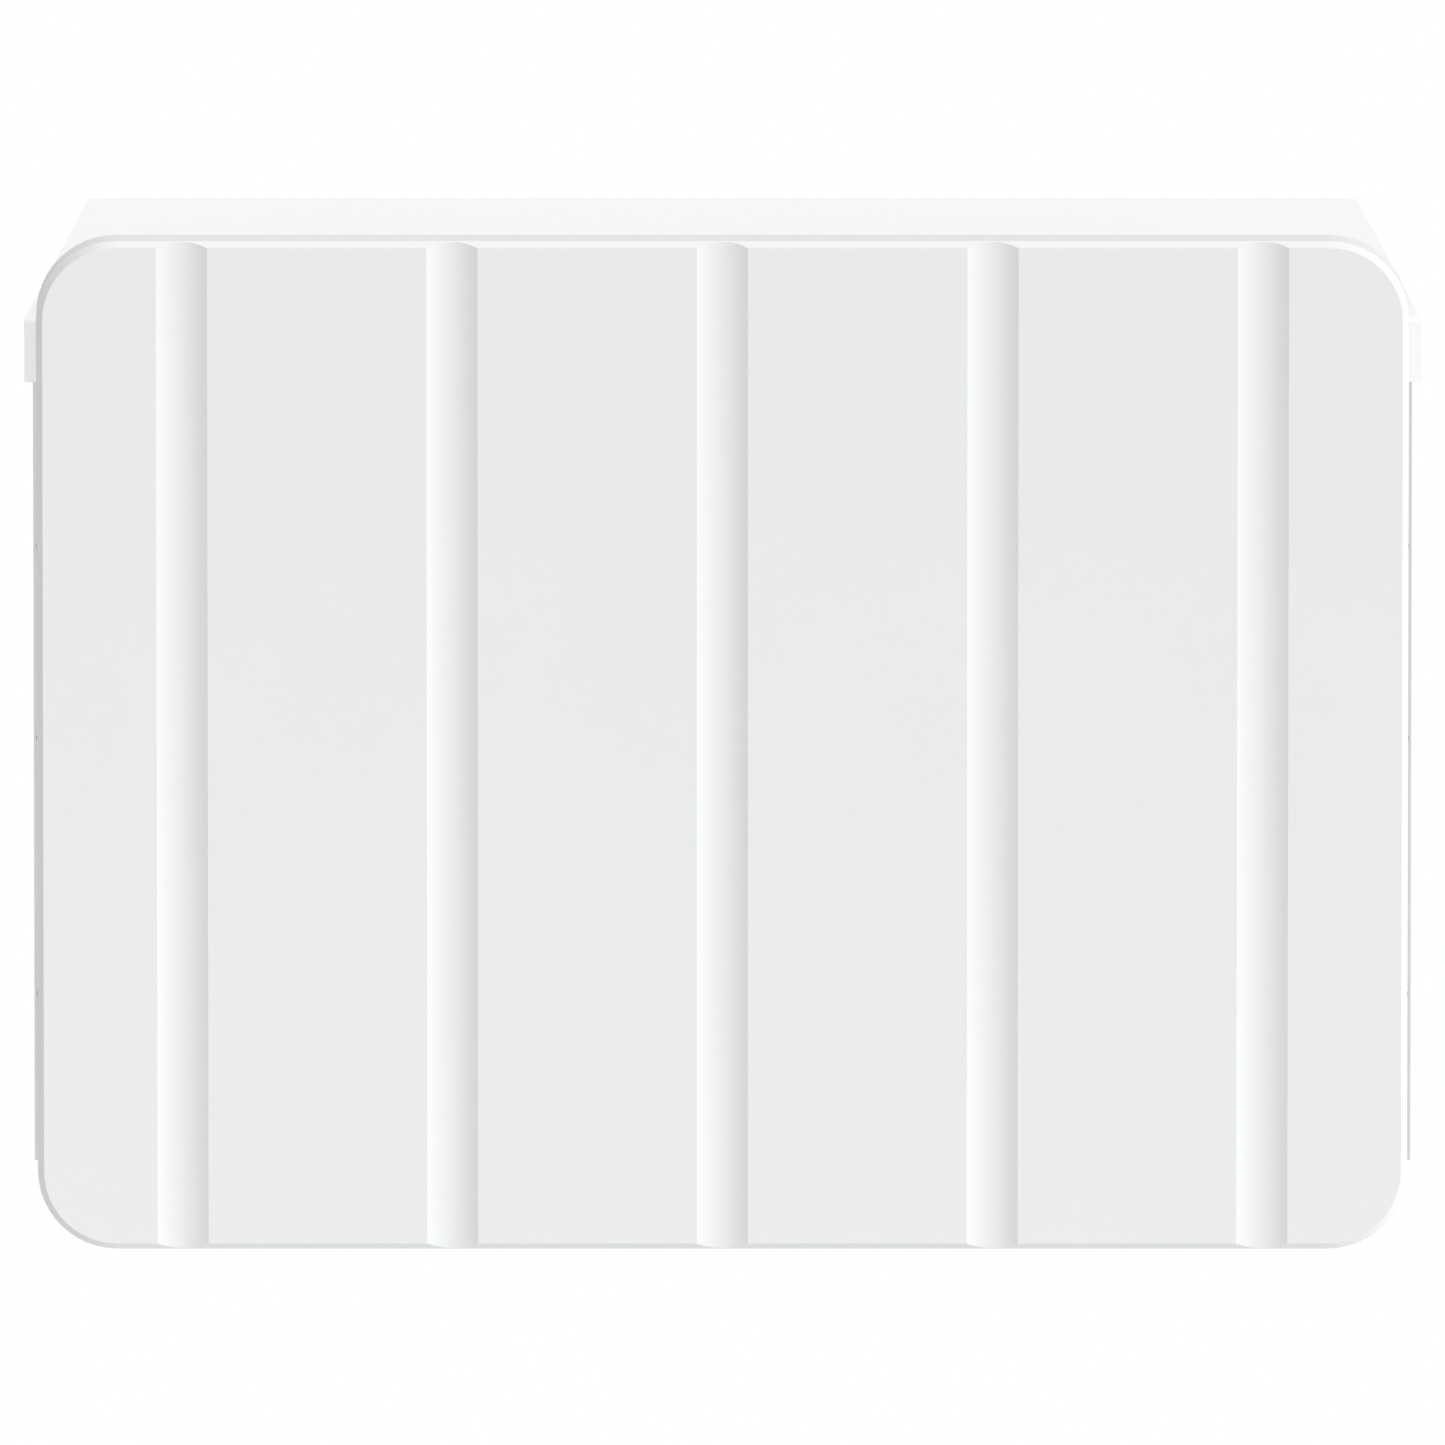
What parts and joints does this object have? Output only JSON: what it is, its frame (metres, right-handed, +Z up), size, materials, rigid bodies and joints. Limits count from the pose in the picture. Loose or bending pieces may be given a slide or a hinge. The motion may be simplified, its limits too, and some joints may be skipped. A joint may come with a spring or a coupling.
{
  "type": "wall battery unit",
  "caption": "Wide wall-hung storage battery with a fluted, round-cornered push-on cover, a sloped rain hood and a tapered chassis that holds cells, inverters and a wiring bay.",
  "frame": {"origin": "centre of the wall bracket's bolt pattern on the wall face", "axes": "+X to the right seen from the front, +Y into the wall, +Z up; the front faces -Y"},
  "size_m": [1.075, 0.19, 0.791],
  "materials": {
    "cover_shell": "satin white moulding",
    "chassis_paint": "fine white powder coat",
    "panel_paint": "fine white powder coat",
    "hood_paint": "fine white powder coat",
    "galvanised": "zinc coated sheet",
    "bright_steel": "bright zinc plate",
    "black_plastic": "moulded",
    "device_grey": "moulded",
    "foam_rubber": "closed cell",
    "cell_film": "heat-shrink film over the can",
    "clear_lid": "clear polycarbonate",
    "bare_aluminium": "mill finish",
    "separator_foam": "aerogel sheet",
    "copper_bar": "bare copper",
    "inverter_case": "dark powder coat",
    "circuit_board": "solder mask",
    "fuse_ceramic": "glazed",
    "cable_red": "jacket",
    "cable_black": "jacket",
    "brass_bar": "machined",
    "knob_red": "moulded",
    "button_white": "moulded",
    "light_lens": "frosted lens",
    "cast_hub": "die cast"
  },
  "bodies": {
    "chassis": {"ac_plugs": "black_plastic", "ac_trunk": "black_plastic", "battery_cells_lower": "cell_film", "battery_cells_upper": "cell_film", "bay_standoffs": "bare_aluminium", "blanking_plugs": "device_grey", "bracket_lock_screws": "bright_steel", "breaker_body": "device_grey", "button_bezel": "device_grey", "button_switch": "black_plastic", "cell_links": "bare_aluminium", "cell_separators": "separator_foam", "chassis_tub": "chassis_paint", "comms_board": "circuit_board", "conduit_hubs": "cast_hub", "control_tray": "galvanised", "controller_board": "circuit_board", "cover_stud_sockets": "black_plastic", "dc_plugs": "black_plastic", "dc_trunk": "black_plastic", "din_rail": "galvanised", "feed_cable": "cable_black", "front_panel": "panel_paint", "fuse_cable": "cable_red", "fuse_holder": "black_plastic", "ground_bar": "brass_bar", "hanger_rail": "galvanised", "hood_seal_strips": "foam_rubber", "hood_spacers": "chassis_paint", "hub_locknuts": "bright_steel", "inverter_carrier": "bare_aluminium", "isolator_bezel": "device_grey", "isolator_body": "device_grey", "main_contactor": "black_plastic", "main_fuse": "fuse_ceramic", "microinverters": "inverter_case", "module_bands": "bright_steel", "module_end_plates": "bare_aluminium", "module_lid_lower": "clear_lid", "module_lid_upper": "clear_lid", "module_trays": "bare_aluminium", "output_cable": "cable_black", "panel_gasket": "foam_rubber", "panel_screws": "bright_steel", "pressure_vent": "device_grey", "rain_hood": "hood_paint", "riser_negative": "copper_bar", "riser_positive": "copper_bar", "status_light": "light_lens", "terminal_block": "device_grey", "wall_bracket": "galvanised", "wall_spacer_feet": "foam_rubber", "wiring_bay_wall": "galvanised"},
    "cover": {"front_cover": "cover_shell", "cover_bars": "galvanised", "cover_ball_studs": "bright_steel"},
    "isolator_handle": {"isolator_knob": "knob_red", "isolator_shaft": "bright_steel"},
    "power_button": {"power_button": "button_white"},
    "breaker_toggle": {"breaker_lever": "black_plastic"}
  },
  "joints": [
    {"name": "cover_pull", "type": "slide", "parent": "chassis", "child": "cover", "axis": [0, -1, 0], "range_m": [0, 0.3]},
    {"name": "isolator_turn", "type": "hinge", "parent": "chassis", "child": "isolator_handle", "pos_m": [0.5145, -0.07, -0.04], "axis": [1, 0, 0], "range_deg": [0, 90]},
    {"name": "button_press", "type": "slide", "parent": "chassis", "child": "power_button", "axis": [-1, 0, 0], "range_m": [0, 0.0025], "stiffness_N_per_m": 600, "springref_m": -0.001},
    {"name": "breaker_flip", "type": "hinge", "parent": "chassis", "child": "breaker_toggle", "pos_m": [0.44, -0.144, 0.13], "axis": [1, 0, 0], "range_deg": [0, 50]}
  ]
}
